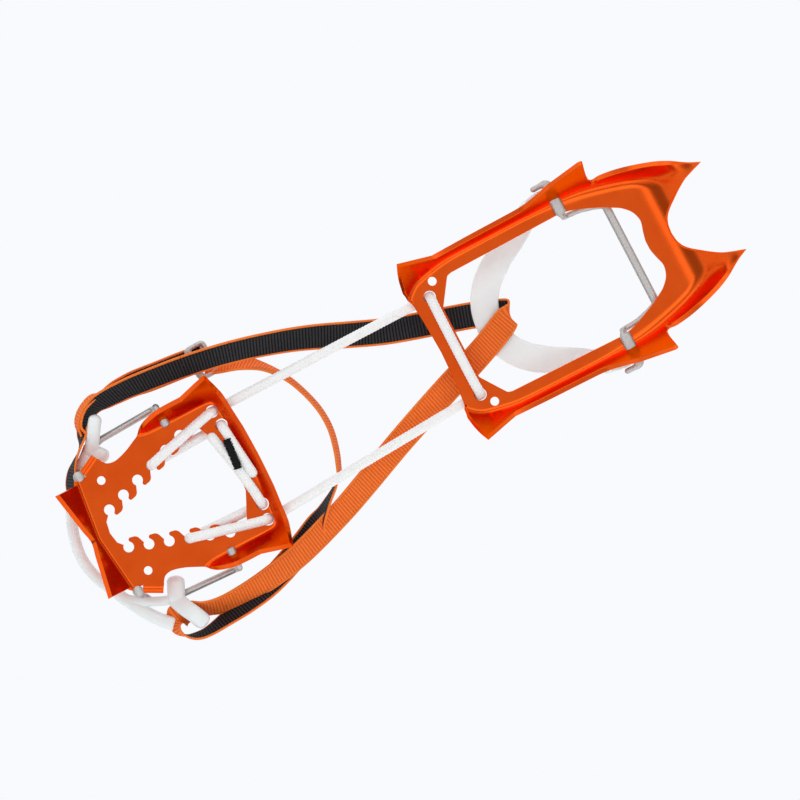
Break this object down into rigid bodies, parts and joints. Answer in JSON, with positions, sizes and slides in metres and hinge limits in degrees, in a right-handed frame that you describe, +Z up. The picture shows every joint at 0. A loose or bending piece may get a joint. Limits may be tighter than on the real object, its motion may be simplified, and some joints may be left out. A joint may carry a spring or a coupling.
{
  "type": "crampon",
  "caption": "Flexible crampon with an orange front section and heel section tied by a folded cord, wire and strap bindings, lying points up.",
  "frame": {"origin": "on the floor under the middle of the model's box, as it lies on its bindings", "axes": "+X from the heel to the front points, +Z up, the way the points stand, +Y across the sections"},
  "size_m": [0.4078, 0.1535, 0.0534],
  "materials": {
    "orange_anodised": "satin anodised",
    "stainless": "satin",
    "white_plastic": "translucent satin",
    "cord": "braided",
    "webbing": "woven, black reverse",
    "black_thread": "matt"
  },
  "bodies": {
    "front_section": {"front_frame": "orange_anodised", "cord_front_bridge": "cord"},
    "toe_wire": {"toe_wire": "stainless"},
    "toe_harness": {"toe_harness": "white_plastic", "strap_toe_turn": "webbing"},
    "cord_link": {"cord_run_left": "cord", "cord_run_right": "cord", "strap_left_run": "webbing", "strap_right_run": "webbing"},
    "cord_bends": {"cord_bend_left": "cord", "cord_bend_right": "cord"},
    "heel_section": {"heel_frame": "orange_anodised", "cord_lashing_left": "cord", "cord_lashing_right": "cord", "cord_tail_left": "cord", "cord_tail_right": "cord", "cord_stitching": "black_thread", "heel_cup": "white_plastic", "strap_lower_ply": "webbing", "strap_ankle": "webbing", "strap_buckle_ply": "webbing", "strap_tail": "webbing", "buckle_ring_fixed": "stainless"},
    "buckle_ring_free": {"buckle_ring_free": "stainless"},
    "heel_wire_left": {"heel_wire_left": "stainless", "heel_loop_left": "white_plastic", "strap_turn_left": "webbing"},
    "heel_wire_right": {"heel_wire_right": "stainless", "heel_loop_right": "white_plastic", "strap_turn_right": "webbing"}
  },
  "joints": [
    {"name": "toe_wire_swing", "type": "hinge", "parent": "front_section", "child": "toe_wire", "pos_m": [0.1239, 0.0047, 0.0262], "axis": [0, 1, 0], "range_deg": [0, 100]},
    {"name": "toe_harness_swing", "type": "hinge", "parent": "front_section", "child": "toe_harness", "pos_m": [0.1239, 0.0047, 0.0262], "axis": [0, -1, 0], "range_deg": [0, 100], "deforming": ["strap_toe_turn", "strap_left_run", "strap_right_run"]},
    {"name": "front_fold", "type": "hinge", "parent": "front_section", "child": "cord_link", "pos_m": [0.0386, 0.0047, 0.0173], "axis": [0, -1, 0], "range_deg": [0, 90], "deforming": ["cord_front_bridge"]},
    {"name": "heel_fold", "type": "hinge", "parent": "cord_link", "child": "cord_bends", "pos_m": [-0.0968, 0.001, 0.0173], "axis": [0, -1, 0], "range_deg": [0, 90], "deforming": ["cord_bend_left", "cord_bend_right", "strap_ankle", "strap_lower_ply"]},
    {"name": "length_adjust", "type": "slide", "parent": "cord_bends", "child": "heel_section", "axis": [-1, 0, 0], "range_m": [0, 0.0426], "deforming": ["cord_lashing_left", "cord_lashing_right"]},
    {"name": "heel_wire_left_swing", "type": "hinge", "parent": "heel_section", "child": "heel_wire_left", "pos_m": [-0.1229, 0.045, 0.026], "axis": [-0.9854, -0.1547, -0.0711], "range_deg": [0, 30], "deforming": ["heel_cup", "strap_turn_left", "strap_buckle_ply", "strap_tail"]},
    {"name": "heel_wire_right_swing", "type": "hinge", "parent": "heel_section", "child": "heel_wire_right", "pos_m": [-0.1229, -0.043, 0.026], "axis": [0.9854, -0.1547, 0.0711], "range_deg": [0, 30], "deforming": ["strap_turn_right"]},
    {"name": "buckle_ring_tilt", "type": "hinge", "parent": "heel_section", "child": "buckle_ring_free", "pos_m": [-0.0944, 0.0632, 0.0072], "axis": [0, -1, 0], "range_deg": [0, 60]}
  ]
}
